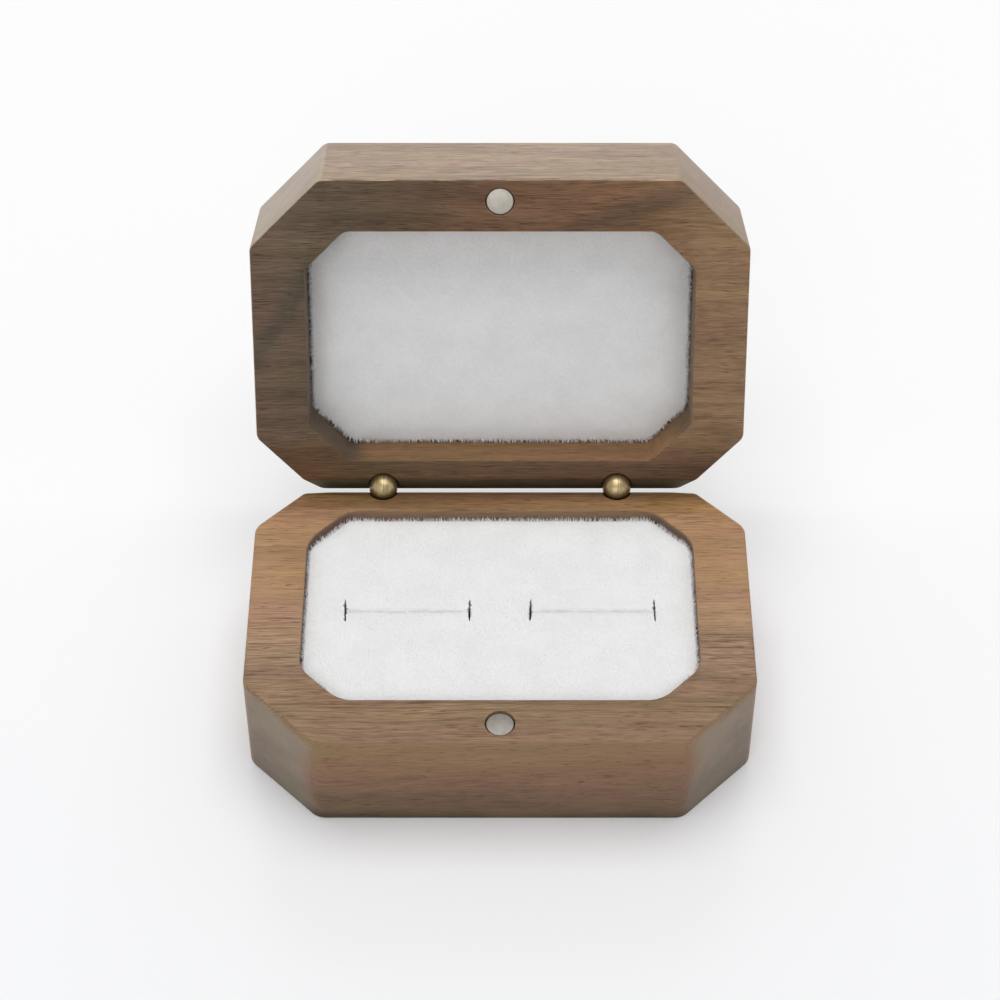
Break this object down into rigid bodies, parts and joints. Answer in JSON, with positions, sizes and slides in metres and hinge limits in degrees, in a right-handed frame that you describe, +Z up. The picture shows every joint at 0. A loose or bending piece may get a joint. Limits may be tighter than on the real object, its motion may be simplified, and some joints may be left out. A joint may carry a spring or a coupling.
{
  "type": "ring display box",
  "caption": "Small eight-sided walnut ring box, shown open: hinged lid on ball hinges, plush ring pad with slots, plush lid lining and magnets that keep it shut.",
  "frame": {"origin": "middle of the base's underside, on the face the box stands on", "axes": "+X to the right seen from the front, +Y from the front to the hinges, +Z up"},
  "size_m": [0.09, 0.1043, 0.0768],
  "materials": {
    "walnut": "fine-sanded walnut with a thin matt oil finish",
    "white_plush": "short-pile white plush",
    "pad_foam": "soft open-cell foam",
    "backing_card": "plain grey-brown card",
    "hinge_brass": "aged satin brass",
    "magnet_nickel": "dull nickel plate"
  },
  "bodies": {
    "base": {"base_body": "walnut", "base_magnet": "magnet_nickel", "ring_pad_card": "backing_card", "ring_pad_foam": "pad_foam", "ring_pad_plush": "white_plush", "left_hinge_base_leaf": "hinge_brass", "left_hinge_pin": "hinge_brass", "right_hinge_base_leaf": "hinge_brass", "right_hinge_pin": "hinge_brass"},
    "lid": {"lid_body": "walnut", "lid_magnet": "magnet_nickel", "lid_lining_card": "backing_card", "lid_lining_foam": "pad_foam", "lid_lining_plush": "white_plush", "left_hinge_lid_leaf": "hinge_brass", "right_hinge_lid_leaf": "hinge_brass"}
  },
  "joints": [
    {"name": "lid_hinge", "type": "hinge", "parent": "base", "child": "lid", "pos_m": [0, 0.02835, 0.0221], "axis": [1, 0, 0], "range_deg": [0, 113.2]}
  ]
}
